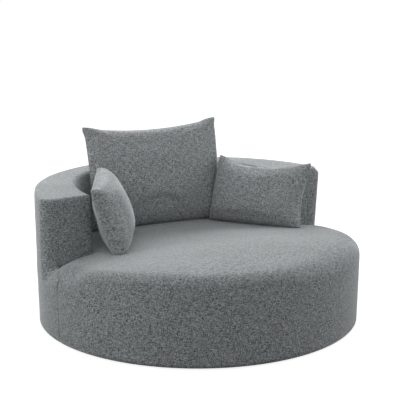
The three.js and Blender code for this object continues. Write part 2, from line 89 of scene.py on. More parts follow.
# Sizes of the crescent back
BACK_TOP = 0.547
BACK_SINK = 0.050
SINK_WAY = (0.485, 0.837)
BACK_CENTRE_Y = 0.128
BACK_INNER_RADIUS = 0.427
BACK_LEAN = 0.015
BACK_SPREAD = 0.008
SPREAD_SHIFT = 0.009
BACK_END_Y = 0.078
BACK_EDGE_ROUND = 0.014
OUTER_CORNER = 0.042
INNER_CORNER = 0.018
DECK_HEIGHT = 0.180
DECK_LAP = 0.03

# Where the arm's front face meets the seat's shoulder
CREASE_BLEND = 0.003
SHOULDER_BLEND = 0.050
SHOULDER_WIDTH = 0.040

# Plan of the side seam, from the arm's front face over the shoulder to the drum's side
SEAM_TOP = (0.590, BACK_END_Y)
SEAM_TURN = (0.646, -0.045)
SEAM_FOOT = (WIDEST_RADIUS, SEAM_TURN[1])
SEAM_ROLL = 0.0017
SEAM_DIP = 0.0012
SEAM_DIP_WIDTH = 0.009
SEAM_FADES = (BACK_TOP - 0.03, BACK_TOP - 0.05)
NEAR_THE_SIDE = 0.5

# Cushions. Front and rear are the depths to each side of the sewn edge, and a sag makes the foot fuller
# than the top. Knife is the power by which they swell from the edge, and blunt shortens the corners. The
# draws are how far each edge pulls in at its middle, and tilt lifts the top edge on the right. Swell caps
# what the cloth simulation adds. Sink is how far the foot presses into the seat. Arc runs along the back's
# inner face, from its middle to the left, and standoff is measured from that face.
BACK_CUSHION = dict(
    width=0.608, height=0.454, front=0.095, rear=0.095, front_sag=0.10, rear_sag=0.10,
    knife=0.42, blunt=0.026, left_draw=0.017, right_draw=0.001, top_draw=0.031, bottom_draw=0.004,
    tilt=0.0, swell=0.009, seed=0.0,
    sink=0.020, arc=0.015, standoff=0.223, twist=math.radians(-10.2), lean=math.radians(12))
LEFT_PILLOW = dict(
    width=0.410, height=0.318, front=0.090, rear=0.054, front_sag=-0.16, rear_sag=0.45,
    knife=0.32, blunt=0.060, left_draw=0.004, right_draw=0.004, top_draw=0.006, bottom_draw=0.004,
    tilt=0.0, swell=0.008, seed=5.0,
    sink=0.014, arc=0.743, standoff=0.133, twist=math.radians(-39.7), lean=math.radians(23.5))
RIGHT_PILLOW = dict(
    width=0.446, height=0.300, front=0.080, rear=0.080, front_sag=0.10, rear_sag=0.10,
    knife=0.40, blunt=0.030, left_draw=0.004, right_draw=0.016, top_draw=0.040, bottom_draw=0.004,
    tilt=0.008, swell=0.008, seed=9.0,
    sink=0.014, arc=-0.744, standoff=0.112, twist=math.radians(38.9), lean=math.radians(19))
ON_EDGE = 0.9999

# The camera, which stands where the photograph was taken from
CAMERA_PLACE = (-2.93758, -5.08804, 2.01592)
CAMERA_AHEAD = (0.484954, 0.837399, -0.252156)
CAMERA_RIGHT = (0.865361, -0.501149, 0)

# Lamps: name, place, what it is aimed at, width, height and watts
LAMPS = (
    ("key_high", (1.15, 1.95, 3.0), (0, -0.1, 0.35), 3.0, 1.8, 17),
    ("key_behind", (0.5, 2.6, 2.6), (0, -0.1, 0.35), 3.0, 1.0, 72),
    ("left_side", (-3.0, 0.9, 1.3), (0, 0, 0.35), 1.2, 1.8, 26),
    ("right_side", (3.0, -1.0, 1.3), (0, 0, 0.35), 1.2, 1.8, 23),
    ("front_top", (-1.2, -2.2, 3.0), (0, 0, 0.35), 2.5, 1.5, 19),
)
WORLD_LEVEL = 0.48
FLOOR_RADIUS = 14
FLOOR_SHADE = 0.3
FLOOR_GLOW = 0.87


# Shape rules shared by the pieces
def between(start, stop, value):
    """0 at start and 1 at stop, eased on the way and level beyond."""
    t = np.clip((value - start) / (stop - start), 0, 1)
    return t * t * (3 - 2 * t)


def drum_radius_at(height):
    rise = (np.asarray(height) - HEM_HEIGHT) / (FLARE_HEIGHT - HEM_HEIGHT)
    return DRUM_RADIUS + DRUM_FLARE * np.clip(rise, 0, 1)


def round_the_rim(tight, slack, angle):
    """A size of the rim at a plan angle, from what it is where the rim is tight and where it is slack."""
    cosine = np.cos(angle)
    slackness = np.maximum(between(*SLACKENS_RIGHT, cosine), between(*SLACKENS_LEFT, cosine))
    return tight + (slack - tight) * slackness


def rim_size(angle):
    return (round_the_rim(TIGHT_RIM_WIDTH, SLACK_RIM_WIDTH, angle),
            round_the_rim(TIGHT_RIM_DROP, SLACK_RIM_DROP, angle))


def open_seat_height(share, angle):
    """The seat's surface before its rim is rolled over: crowned, and higher in front."""
    rise = between(SEAT_RISE_FROM, SEAT_RISE_TO, share * DRUM_RADIUS * np.sin(angle))
    lift = round_the_rim(SEAT_EDGE_LIFT, 0, angle) * between(SEAT_EDGE_SHARE, 1, share)
    return SEAT_REAR_HEIGHT - SEAT_CROWN * share ** 2 + SEAT_FRONT_RISE * rise + lift


def plain_seat_height(share, angle):
    width, drop = rim_size(angle)
    over = np.clip((share - 1) * DRUM_RADIUS / width + 1, 0, 1)
    return open_seat_height(share, angle) - drop * (1 - np.sqrt(1 - over ** 2))


def seat_tuck(x, y):
    """How far the seat's cloth is pulled down: beside the back, and at the arms' outer front corners."""
    ahead = BACK_END_Y - y
    inner = BACK_INNER_RADIUS - np.hypot(x, y - BACK_CENTRE_Y)
    away = np.clip(np.maximum(inner, ahead) / TUCK_WIDTH, 0, 1)
    fading = np.exp(-(np.clip(ahead, 0, None) / CORNER_TUCK_LENGTH) ** 2)
    return TUCK_DEPTH * (1 - away) ** 2 + CORNER_TUCK_DEPTH * between(*CORNER_TUCK_SIDE, np.abs(x)) * fading


def share_and_angle(x, y):
    return np.clip(np.hypot(x, y) / WIDEST_RADIUS, 0, 1), np.arctan2(y, x)


def seat_height_at(x, y):
    return plain_seat_height(*share_and_angle(x, y)) - seat_tuck(x, y)


def seat_distance(points):
    x, y, z = points.T
    return z - seat_height_at(x, y)


def back_top_at(x, y):
    """Height of the back's top edge: it sinks a little away from the left arm, round the rear."""
    return BACK_TOP - BACK_SINK * np.clip(SINK_WAY[0] * x + SINK_WAY[1] * y, 0, None)


def rounded_meeting(a, b, radius):
    """Distance to two surfaces that meet in an edge of this radius; negative inside both."""
    a, b = a + radius, b + radius
    return np.minimum(np.maximum(a, b), 0) + np.hypot(np.maximum(a, 0), np.maximum(b, 0)) - radius


def outer_side(points):
    """Distance outside the drum's side and the back's outer face, which are flush."""
    x, y, z = points.T
    spread = (BACK_SPREAD + SPREAD_SHIFT * x) * between(FLARE_HEIGHT, BACK_TOP, z)
    return np.hypot(x, y) - drum_radius_at(z) - spread


def inner_side(points):
    x, y, z = points.T
    lean = BACK_LEAN * np.clip((z - DECK_HEIGHT) / (BACK_TOP - DECK_HEIGHT), 0, None)
    return BACK_INNER_RADIUS + lean - np.hypot(x, y - BACK_CENTRE_Y)


def back_distance(points):
    """Distance from points to the crescent back's surface; negative inside the back."""
    x, y, z = points.T
    end = BACK_END_Y - y
    plan = np.maximum(rounded_meeting(outer_side(points), end, OUTER_CORNER),
                      rounded_meeting(inner_side(points), end, INNER_CORNER))
    return rounded_meeting(plan, z - back_top_at(x, y), BACK_EDGE_ROUND)


def oval_meeting(a, b, width, drop):
    """As rounded_meeting, with an edge that rolls over this width and drop."""
    too_near_to_tell, deep_inside = 0.02, -0.04
    u, v = np.maximum(a + width, 0) / width, np.maximum(b + drop, 0) / drop
    spoke = np.hypot(u, v)
    distance = (spoke - 1) * spoke / np.maximum(np.hypot(u / width, v / drop), 1e-6)
    return np.where(spoke > too_near_to_tell, distance, deep_inside)


def back_cloth_distance(points):
    """As back_distance, with the outer panels run on forwards to the side seams, flush with the drum."""
    x, y, z = points.T
    end = BACK_END_Y - y
    share, angle = share_and_angle(x, y)
    top = z - open_seat_height(share, angle) + seat_tuck(x, y)
    beyond = np.abs(x) - SEAM_TOP[0]
    blend = CREASE_BLEND + SHOULDER_BLEND * between(0, SHOULDER_WIDTH, beyond)
    arm_share = np.clip(0.5 + 0.5 * (top - end) / blend, 0, 1)
    front = top + (end - top) * arm_share - blend * arm_share * (1 - arm_share)
    front = np.where(beyond > 0, front, end)
    arm_share = np.where(beyond > 0, arm_share, 1)
    width, drop = (size + (OUTER_CORNER - size) * arm_share for size in rim_size(angle))
    outside = oval_meeting(outer_side(points), front, width, drop)
    inside = rounded_meeting(inner_side(points), end, INNER_CORNER)
    plan = np.where(beyond > 0, outside, np.maximum(outside, inside))
    return rounded_meeting(plan, z - back_top_at(x, y), BACK_EDGE_ROUND)


def seam_distance(points):
    """Distance in plan from the side seams."""
    here = np.stack([np.abs(points[:, 0]), points[:, 1]], axis=1)
    found = np.full(len(points), 1.0)
    for start, stop in ((SEAM_TOP, SEAM_TURN), (SEAM_TURN, SEAM_FOOT)):
        start, run = np.array(start), np.array(stop) - np.array(start)
        along = np.clip((here - start) @ run / (run @ run), 0, 1)
        found = np.minimum(found, np.linalg.norm(here - start - along[:, None] * run, axis=1))
    return found


def seam_dip(points):
    near = np.exp(-(seam_distance(points) / SEAM_DIP_WIDTH) ** 2)
    return SEAM_DIP * near * between(*SEAM_FADES, points[:, 2])


def slope_of(distance, points, step=0.0004):
    """Unit direction in which a distance grows fastest, at each point."""
    shifts = np.eye(3) * step
    grads = np.stack([distance(points + s) - distance(points - s) for s in shifts], axis=1) / (2 * step)
    return grads / np.maximum(np.linalg.norm(grads, axis=1, keepdims=True), 1e-6)


def drawn_onto(points, distance, depth=0.0):
    """Points are brought onto the surface that lies this deep under a distance's zero."""
    for _ in range(7):
        points = points - slope_of(distance, points) * (distance(points) + depth)[:, None]
    return points


def soft_waves(points, size, seed, waves=14):
    """Smooth random hollows and swellings between about -1 and 1, of about this size."""
    rng = np.random.default_rng(seed)
    total = np.zeros(len(points))
    for _ in range(waves):
        direction = rng.normal(size=3)
        direction /= np.linalg.norm(direction)
        length = size * rng.uniform(0.7, 1.7)
        total += np.sin(points @ direction * 2 * math.pi / length + rng.uniform(0, 2 * math.pi))
    return total / waves * 1.6


# Making pieces
def read_values(items, label, width=1, kind=float):
    values = np.empty(len(items) * width, dtype=kind)
    items.foreach_get(label, values)
    return values.reshape(-1, width) if width > 1 else values


def points_of(mesh):
    return read_values(mesh.vertices, "co", 3)


def normals_of(mesh):
    return read_values(mesh.vertex_normals, "vector", 3)


def move_points(mesh, points):
    mesh.vertices.foreach_set("co", np.ascontiguousarray(points, dtype=np.float32).ravel())
    mesh.update()


def stand(name, data):
    """Puts a new object with this data into the scene."""
    made = bpy.data.objects.new(name, data)
    scene.collection.objects.link(made)
    return made


def piece_from(name, bm):
    mesh = bpy.data.meshes.new(name)
    bm.to_mesh(mesh)
    bm.free()
    mesh.shade_smooth()
    return stand(name, mesh)


def remove_piece(piece):
    mesh = piece.data
    bpy.data.objects.remove(piece)
    bpy.data.meshes.remove(mesh)


@contextmanager
def reshaping(mesh):
    """Lends a mesh's bmesh, and writes it back when the work on it is done."""
    bm = bmesh.new()
    bm.from_mesh(mesh)
    yield bm
    bm.to_mesh(mesh)
    bm.free()


def join_into(piece, other):
    with reshaping(piece.data) as bm:
        bm.from_mesh(other.data)
    remove_piece(other)


def apply_modifiers(piece):
    graph = bpy.context.evaluated_depsgraph_get()
    done = bpy.data.meshes.new_from_object(piece.evaluated_get(graph), preserve_all_data_layers=True,
                                           depsgraph=graph)
    piece.modifiers.clear()
    old = piece.data
    piece.data = done
    bpy.data.meshes.remove(old)


def add_wall(piece, thickness):
    """Thickens a sheet inwards, by a modifier."""
    wall = piece.modifiers.new("wall", "SOLIDIFY")
    wall.thickness = thickness
    wall.offset = -1


def dress(piece, material, body):
    piece.data.materials.clear()
    piece.data.materials.append(material)
    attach(piece, body)
    return piece


def only(kind, geom):
    return [part for part in geom if isinstance(part, kind)]


def spun(name, rows, steps):
    """A piece turned about the upright axis from rows of radius and height."""
    bm = bmesh.new()
    verts = [bm.verts.new((radius, 0, height)) for radius, height in rows]
    edges = [bm.edges.new(pair) for pair in zip(verts, verts[1:])]
    bmesh.ops.spin(bm, geom=verts + edges, cent=(0, 0, 0), axis=(0, 0, 1), dvec=(0, 0, 0),
                   angle=2 * math.pi, steps=steps, use_merge=True, use_duplicate=False)
    bmesh.ops.remove_doubles(bm, verts=bm.verts, dist=1e-6)
    bmesh.ops.recalc_face_normals(bm, faces=bm.faces)
    return piece_from(name, bm)


def pull_up(bm, faces, height):
    """Makes flat faces the foot of a closed body of this height."""
    pulled = bmesh.ops.extrude_face_region(bm, geom=faces, use_keep_orig=True)["geom"]
    bmesh.ops.translate(bm, vec=(0, 0, height), verts=only(bmesh.types.BMVert, pulled))
    bmesh.ops.recalc_face_normals(bm, faces=bm.faces)


def slice_at(bm, place, way, geom=None, clear_behind=False):
    geom = geom or bm.verts[:] + bm.edges[:] + bm.faces[:]
    bmesh.ops.bisect_plane(bm, geom=geom, dist=1e-5, plane_co=place, plane_no=way, clear_inner=clear_behind)


def lay_cloth(mesh, lay):
    """Gives a mesh its cloth map in metres. For each corner, lay takes its point and its face's centre
    and normal, and gives u and v."""
    layer = mesh.uv_layers.get("cloth") or mesh.uv_layers.new(name="cloth")
    sizes = read_values(mesh.polygons, "loop_total", kind=np.int64)
    centres = np.repeat(read_values(mesh.polygons, "center", 3), sizes, axis=0)
    normals = np.repeat(read_values(mesh.polygons, "normal", 3), sizes, axis=0)
    corners = points_of(mesh)[read_values(mesh.loops, "vertex_index", kind=np.int64)]
    layer.data.foreach_set("uv", lay(corners, centres, normals).astype(np.float32).ravel())


def round_the_axis(corners, centres, radius, centre_y=0.0):
    """Length round an upright axis for each corner, unbroken within each face."""
    middle = np.arctan2(centres[:, 1] - centre_y, centres[:, 0])
    own = np.arctan2(corners[:, 1] - centre_y, corners[:, 0])
    turn = (own - middle + math.pi) % (2 * math.pi) - math.pi
    return (middle + turn) * radius


def tube(name, path, radius, closed=False):
    curve = bpy.data.curves.new(name, "CURVE")
    curve.dimensions = "3D"
    curve.bevel_depth = radius
    curve.bevel_resolution = 2
    curve.use_fill_caps = not closed
    line = curve.splines.new("POLY")
    line.points.add(len(path) - 1)
    for point, place in zip(line.points, path):
        point.co = (*place, 1)
    line.use_cyclic_u = closed
    shape = stand(name, curve)
    graph = bpy.context.evaluated_depsgraph_get()
    mesh = bpy.data.meshes.new_from_object(shape.evaluated_get(graph))
    bpy.data.objects.remove(shape)
    bpy.data.curves.remove(curve)
    mesh.shade_smooth()

    def lay(corners, centres, normals):
        return np.stack([corners[:, 0] + corners[:, 1], corners[:, 2]], axis=1)

    lay_cloth(mesh, lay)
    return stand(name, mesh)


# Finishes
class Bench:
    """Short calls for placing and joining the nodes of one tree."""

    def __init__(self, tree):
        self.tree = tree

    def join(self, value, socket):
        if isinstance(value, bpy.types.NodeSocket):
            self.tree.links.new(value, socket)
        else:
            socket.default_value = value

    def node(self, kind, settings=(), **given):
        """A new node with these settings, its inputs given by name with _ for a space."""
        made = self.tree.nodes.new("ShaderNode" + kind)
        for label, value in dict(settings).items():
            setattr(made, label, value)
        for label, value in given.items():
            self.join(value, made.inputs[label.replace("_", " ")])
        return made

    def grouped(self, group, **given):
        return self.node("Group", dict(node_tree=group), **given).outputs

    def maths(self, operation, a, b):
        made = self.node("Math", dict(operation=operation))
        self.join(a, made.inputs[0])
        self.join(b, made.inputs[1])
        return made.outputs[0]

    def total(self, first, *others):
        for other in others:
            first = self.maths("ADD", first, other)
        return first

    def weighed(self, value, weight, shift=0.0):
        """The value less a shift, times a weight."""
        return self.maths("MULTIPLY", self.maths("SUBTRACT", value, shift) if shift else value, weight)

    def vectors(self, operation, a, b):
        made = self.node("VectorMath", dict(operation=operation))
        self.join(a, made.inputs[0])
        self.join(b, made.inputs[1])
        return made.outputs[0]

    def noise(self, vector, scale, detail, rough=0.5):
        return self.node("TexNoise", Vector=vector, Scale=scale, Detail=detail, Roughness=rough).outputs

    def ramp(self, value, *stops):
        """A ramp between two stops, each a place and a shade: a grey, or red, green and blue."""
        made = self.node("ValToRGB")
        self.join(value, made.inputs[0])
        for element, (place, shade) in zip(made.color_ramp.elements, stops):
            element.position = place
            element.color = (*np.broadcast_to(shade, 3), 1)
        return made.outputs[0]

    def mixed(self, factor, a, b, blend="MIX"):
        made = self.node("Mix", dict(data_type="RGBA", blend_type=blend))
        for value, place in ((factor, 0), (a, 6), (b, 7)):
            self.join(value, made.inputs[place])
        return made.outputs[2]

    def tinted(self, colour, shade):
        return self.node("HueSaturation", Color=colour, Value=shade).outputs[0]

    def seen_straight(self):
        """1 for rays from the camera, also by a mirror or through glass, and 0 for all others."""
        path = self.node("LightPath").outputs
        straight = self.maths("MAXIMUM", path["Is Camera Ray"], path["Is Glossy Ray"])
        return self.maths("MAXIMUM", straight, path["Is Transmission Ray"])


def new_group(name, inputs, outputs):
    group = bpy.data.node_groups.new(name, "ShaderNodeTree")
    for label, kind, value in inputs:
        socket = group.interface.new_socket(label, in_out="INPUT", socket_type="NodeSocket" + kind)
        if value is not None:
            socket.default_value = value
    for label, kind in outputs:
        group.interface.new_socket(label, in_out="OUTPUT", socket_type="NodeSocket" + kind)
    given, result = group.nodes.new("NodeGroupInput").outputs, group.nodes.new("NodeGroupOutput").inputs
    return group, Bench(group), given, result


def chenille_weave_group():
    """Heathered chenille: stubby tufts of light and dark yarn, with slubs both ways and a brushed pile."""
    group, bench, given, result = new_group(
        "chenille_weave",
        [("Cloth Position", "Vector", None), ("Base Colour", "Color", (0.26, 0.27, 0.27, 1)),
         ("Yarn Width", "Float", 0.0022), ("Fleck", "Float", 0.5), ("Slub", "Float", 0.3),
         ("Brushing", "Float", 0.12)],
        [("Colour", "Color"), ("Height", "Float")])
    place = given["Cloth Position"]
    # tufts a little longer than they are wide, jostled out of their rows
    jostle = bench.vectors("MULTIPLY", bench.noise(place, 260.0, 1.0)["Color"], (0.0034, 0.0034, 0.0))
    tuft_place = bench.vectors("MULTIPLY", bench.vectors("ADD", place, jostle), (0.62, 1.0, 1.0))
    tufts = bench.node("TexVoronoi", dict(voronoi_dimensions="2D", feature="F1"), Vector=tuft_place,
                       Scale=bench.maths("DIVIDE", 1.0, given["Yarn Width"]), Randomness=0.75).outputs
    tuft_shade = bench.node("SeparateColor", Color=tufts["Color"]).outputs[0]
    fine = bench.noise(place, 460.0, 3.0, 0.6)["Fac"]
    heather = bench.noise(place, 350.0, 2.0, 0.6)["Fac"]
    across = bench.noise(bench.vectors("MULTIPLY", place, (60.0, 300.0, 1.0)), 1.0, 2.0, 0.55)["Fac"]
    along = bench.noise(bench.vectors("MULTIPLY", place, (300.0, 60.0, 1.0)), 1.0, 2.0, 0.55)["Fac"]
    clouds = bench.noise(place, 11.0, 2.0)["Fac"]

    flecks = bench.total(bench.weighed(tuft_shade, 0.9, 0.5), bench.weighed(fine, 1.3, 0.5),
                         bench.weighed(heather, 1.9, 0.5))
    flecks = bench.weighed(flecks, given["Fleck"])
    slubs = bench.total(bench.weighed(across, 1.3, 0.5), bench.weighed(along, 1.3, 0.5))
    slubs = bench.weighed(slubs, given["Slub"])
    brushed = bench.weighed(clouds, given["Brushing"], 0.5)
    shade = bench.maths("MAXIMUM", bench.total(flecks, slubs, brushed, 1.0), 0.25)
    bench.join(bench.tinted(given["Base Colour"], shade), result["Colour"])
    domes = bench.maths("SUBTRACT", 0.7, tufts["Distance"])
    rise = bench.total(bench.weighed(domes, 0.7), bench.weighed(flecks, 0.35), bench.weighed(slubs, 0.5))
    bench.join(rise, result["Height"])
    return group


def grain_group():
    """Sawn timber: long streaks of early and late wood with fine pores, along the part's length in Y."""
    group, bench, given, result = new_group(
        "sawn_grain",
        [("Place", "Vector", None), ("Pale", "Color", (0.6, 0.42, 0.24, 1)),
         ("Dark", "Color", (0.38, 0.24, 0.12, 1))],
        [("Colour", "Color"), ("Height", "Float"), ("Roughness", "Float")])
    streaks = bench.noise(bench.vectors("MULTIPLY", given["Place"], (90.0, 6.0, 90.0)), 1.0, 4.0, 0.6)["Fac"]
    pores = bench.noise(bench.vectors("MULTIPLY", given["Place"], (900.0, 60.0, 900.0)), 1.0, 2.0, 0.6)["Fac"]
    colour = bench.mixed(bench.ramp(streaks, (0.35, 0), (0.68, 1)), given["Pale"], given["Dark"])
    shade = bench.ramp(pores, (0.30, 0.72), (0.5, 1))
    bench.join(bench.mixed(1.0, colour, shade, "MULTIPLY"), result["Colour"])
    bench.join(pores, result["Height"])
    bench.join(bench.total(bench.weighed(streaks, 0.25), 0.5), result["Roughness"])
    return group


def fibre_group():
    """Matted fibres, coarse or fine, lying every way: wadding, fibreboard and non-woven lining."""
    group, bench, given, result = new_group(
        "matted_fibres",
        [("Place", "Vector", None), ("Base Colour", "Color", (0.5, 0.4, 0.3, 1)),
         ("Fibres per Metre", "Float", 300.0), ("Contrast", "Float", 0.5)],
        [("Colour", "Color"), ("Height", "Float")])
    strands = []
    for stretch in ((1.0, 0.14, 0.5), (0.14, 1.0, 0.5), (0.5, 0.5, 0.14)):
        run = bench.vectors("MULTIPLY", given["Place"], stretch)
        strands.append(bench.noise(run, given["Fibres per Metre"], 3.0, 0.65)["Fac"])
    mean = bench.maths("DIVIDE", bench.total(*strands), 3.0)
    contrast = bench.weighed(mean, given["Contrast"], 0.5)
    shade = bench.total(bench.weighed(contrast, 3.0), 1.0)
    bench.join(bench.tinted(given["Base Colour"], shade), result["Colour"])
    bench.join(mean, result["Height"])
    return group


def shader_material(name, **settings):
    material = bpy.data.materials.new(name)
    material.use_nodes = True
    shader = material.node_tree.nodes["Principled BSDF"].inputs
    for label, value in settings.items():
        shader[label.replace("_", " ")].default_value = value
    return material, shader, Bench(material.node_tree)


def bump_into(bench, height, shader, strength, distance):
    bump = bench.node("Bump", Strength=strength, Distance=distance, Height=height)
    bench.join(bump.outputs[0], shader["Normal"])


def chenille(name, weave, colour, fleck, slub):
    material, shader, bench = shader_material(
        name, Roughness=0.95, Specular_IOR_Level=0.15, Sheen_Weight=1.0, Sheen_Roughness=0.32,
        Sheen_Tint=(0.85, 0.88, 0.9, 1))
    cloth_map = bench.node("UVMap", dict(uv_map="cloth")).outputs[0]
    woven = bench.grouped(weave, Cloth_Position=cloth_map, Base_Colour=(*colour, 1), Fleck=fleck, Slub=slub)
    bench.join(woven["Colour"], shader["Base Color"])
    bump_into(bench, woven["Height"], shader, 0.5, 0.0011)
    return material


def placed_on_object(bench):
    return bench.node("TexCoord").outputs["Object"]


def timber(grain):
    material, shader, bench = shader_material("sawn_timber", Specular_IOR_Level=0.3)
    sawn = bench.grouped(grain, Place=placed_on_object(bench))
    bench.join(sawn["Colour"], shader["Base Color"])
    bench.join(sawn["Roughness"], shader["Roughness"])
    bump_into(bench, sawn["Height"], shader, 0.35, 0.0006)
    return material


def fibrous(name, fibres, colour, per_metre, contrast, bump, **settings):
    material, shader, bench = shader_material(name, **settings)
    matted = bench.grouped(fibres, Place=placed_on_object(bench), Base_Colour=(*colour, 1),
                           Fibres_per_Metre=per_metre, Contrast=contrast)
    bench.join(matted["Colour"], shader["Base Color"])
    bump_into(bench, matted["Height"], shader, 0.5, bump)
    return material


def cut_foam():
    """Open cells, cream with a slightly yellowed bloom, and painted shade in the cells' pits."""
    material, shader, bench = shader_material("cut_foam", Roughness=0.9, Specular_IOR_Level=0.1)
    place = placed_on_object(bench)
    cells = bench.node("TexVoronoi", Vector=place, Scale=620.0).outputs["Distance"]
    bloom = bench.noise(place, 7.0, 3.0, 0.6)["Fac"]
    aged = bench.ramp(bloom, (0.3, (0.74, 0.68, 0.50)), (0.7, (0.66, 0.57, 0.36)))
    # Painted shade: each open cell is darkened towards its middle, where shade falls into the pit.
    pit_shade = bench.ramp(cells, (0.1, 0.62), (0.5, 1))
    bench.join(bench.mixed(1.0, aged, pit_shade, "MULTIPLY"), shader["Base Color"])
    bump_into(bench, cells, shader, 0.6, 0.0012)
    return material


def zinc_steel():
    """Zinc plate: cool spangles, rubbed duller in places."""
    material, shader, bench = shader_material("zinc_steel", Metallic=1.0)
    place = placed_on_object(bench)
    spangle = bench.node("TexVoronoi", Vector=place, Scale=130.0).outputs["Color"]
    shade = bench.node("SeparateColor", Color=spangle).outputs[0]
    tone = bench.ramp(shade, (0.0, (0.46, 0.48, 0.50)), (1.0, (0.62, 0.64, 0.65)))
    bench.join(tone, shader["Base Color"])
    rubbed = bench.noise(place, 45.0, 4.0, 0.65)["Fac"]
    bench.join(bench.total(bench.weighed(rubbed, 0.35), 0.2), shader["Roughness"])
    bump_into(bench, rubbed, shader, 0.15, 0.0005)
    return material


def moulded_plastic(name, colour):
    """Moulded plastic with a fine spark-eroded grain and slightly scuffed high spots."""
    material, shader, bench = shader_material(name, Specular_IOR_Level=0.4)
    place = placed_on_object(bench)
    grain = bench.noise(place, 1900.0, 2.0)["Fac"]
    scuffs = bench.noise(place, 120.0, 4.0, 0.7)["Fac"]
    scuffed = [shade * 1.5 + 0.01 for shade in colour]
    bench.join(bench.ramp(scuffs, (0.45, colour), (0.75, scuffed)), shader["Base Color"])
    bench.join(bench.total(bench.weighed(scuffs, 0.3), 0.35), shader["Roughness"])
    bump_into(bench, grain, shader, 0.3, 0.0003)
    return material


def inner_finishes():
    fibres = fibre_group()
    soft = dict(Roughness=0.95, Specular_IOR_Level=0.1)
    return {
        "frame_timber": timber(grain_group()),
        "fibreboard": fibrous("fibreboard", fibres, (0.23, 0.135, 0.07), 900.0, 0.35, 0.0003,
                              Roughness=0.62, Specular_IOR_Level=0.35),
        "foam": cut_foam(),
        "wadding": fibrous("wadding", fibres, (0.80, 0.80, 0.77), 160.0, 0.22, 0.0025,
                           Sheen_Weight=0.3, **soft),
        "black_lining": fibrous("black_lining", fibres, (0.012, 0.012, 0.013), 420.0, 0.8, 0.0006, **soft),
        "steel": zinc_steel(),
        "glide_plastic": moulded_plastic("glide_plastic", (0.018, 0.018, 0.019)),
        "zip_plastic": moulded_plastic("zip_plastic", (0.05, 0.053, 0.055)),
    }


def dress_frame_parts(finishes):
    """Every part under the cloth gets the finish of its own material slot."""
    for row in frame["record"]["subparts"]:
        part = frame["nodes"][row["node"]]
        finish = finishes[row["material_slot"]]
        if not part.material_slots:
            part.data.materials.append(finish)
        for place in part.material_slots:
            place.material = finish


# Rough bodies of the back
def crescent_slab(outer, inner, end_y, outer_corner, inner_corner, low, high, spare=0.0):
    """A crescent drawn by swinging a point about one centre after another, then pulled up.
    Spare widens it outside, behind its outer corners."""
    bm = bmesh.new()
    oy, iy = end_y + outer_corner, end_y + inner_corner
    ox = math.sqrt((outer - outer_corner) ** 2 - oy ** 2)
    ix = math.sqrt((inner + inner_corner) ** 2 - (iy - BACK_CENTRE_Y) ** 2)
    outer_angle = math.atan2(oy, ox)
    inner_angle = math.atan2(iy - BACK_CENTRE_Y, ix)
    touch_x, touch_y = outer * math.cos(outer_angle), outer * math.sin(outer_angle)
    wide = 1 + spare / outer

    def swing(vert, centre, angle, steps):
        made = bmesh.ops.spin(bm, geom=[vert], cent=(*centre, low), axis=(0, 0, 1), dvec=(0, 0, 0),
                              angle=angle, steps=steps, use_merge=False, use_duplicate=False)
        return only(bmesh.types.BMVert, made["geom_last"])[0]

    def draw(vert, x, y):
        made = bmesh.ops.extrude_vert_indiv(bm, verts=[vert])["verts"][0]
        made.co = (x, y, low)
        return made

    outer_turn, inner_turn = math.pi / 2 + outer_angle, math.pi / 2 - inner_angle
    pen = bm.verts.new((touch_x * wide, touch_y * wide, low))
    pen = swing(pen, (0, 0), math.pi - 2 * outer_angle, steps=160)
    pen = draw(pen, -touch_x, touch_y)
    pen = swing(pen, (-ox, oy), outer_turn, steps=8)
    pen = draw(pen, -ix, end_y)
    pen = swing(pen, (-ix, iy), inner_turn, steps=6)
    pen = swing(pen, (0, BACK_CENTRE_Y), 2 * inner_angle - math.pi, steps=110)
    pen = swing(pen, (ix, iy), inner_turn, steps=6)
    pen = draw(pen, ox, end_y)
    pen = swing(pen, (ox, oy), outer_turn, steps=8)
    draw(pen, touch_x * wide, touch_y * wide)
    bmesh.ops.remove_doubles(bm, verts=bm.verts, dist=1e-5)
    pull_up(bm, bmesh.ops.contextual_create(bm, geom=bm.edges[:])["faces"], high - low)
    return bm


def front_corner(side, low):
    """The block in front of one arm, a little past the side seam inwards and past the drum outwards."""
    high, inwards, outwards = 0.278, 0.009, WIDEST_RADIUS + 0.008
    front_y, rear_y = SEAM_FOOT[1] - 0.015, BACK_END_Y + 0.04
    plan = [(SEAM_TOP[0] - inwards, rear_y), (SEAM_TOP[0] - inwards, SEAM_TOP[1]),
            (SEAM_TURN[0] - inwards, front_y), (outwards, front_y), (outwards, rear_y)]
    bm = bmesh.new()
    foot = bm.faces.new([bm.verts.new((side * x, y, low)) for x, y in plan])
    pull_up(bm, [foot], high - low)
    return bm


def cut_for_back(piece, lap):
    """Cuts away what the back stands on, but for a lap."""
    cutter = piece_from("back_room", crescent_slab(
        DRUM_RADIUS - lap, BACK_INNER_RADIUS + lap, BACK_END_Y + lap, OUTER_CORNER - lap, INNER_CORNER,
        low=-0.05, high=0.7, spare=0.04))
    cut = piece.modifiers.new("room for the back", "BOOLEAN")
    cut.operation = "DIFFERENCE"
    cut.solver = "EXACT"
    cut.object = cutter
    apply_modifiers(piece)
    remove_piece(cutter)


def beyond_seam(centre):
    """Positive outside the line of the side seam over the shoulder, negative on the seat's side."""
    x, y = abs(centre.x) - SEAM_TOP[0], centre.y - SEAM_TOP[1]
    return (SEAM_TURN[0] - SEAM_TOP[0]) * y - (SEAM_TURN[1] - SEAM_TOP[1]) * x


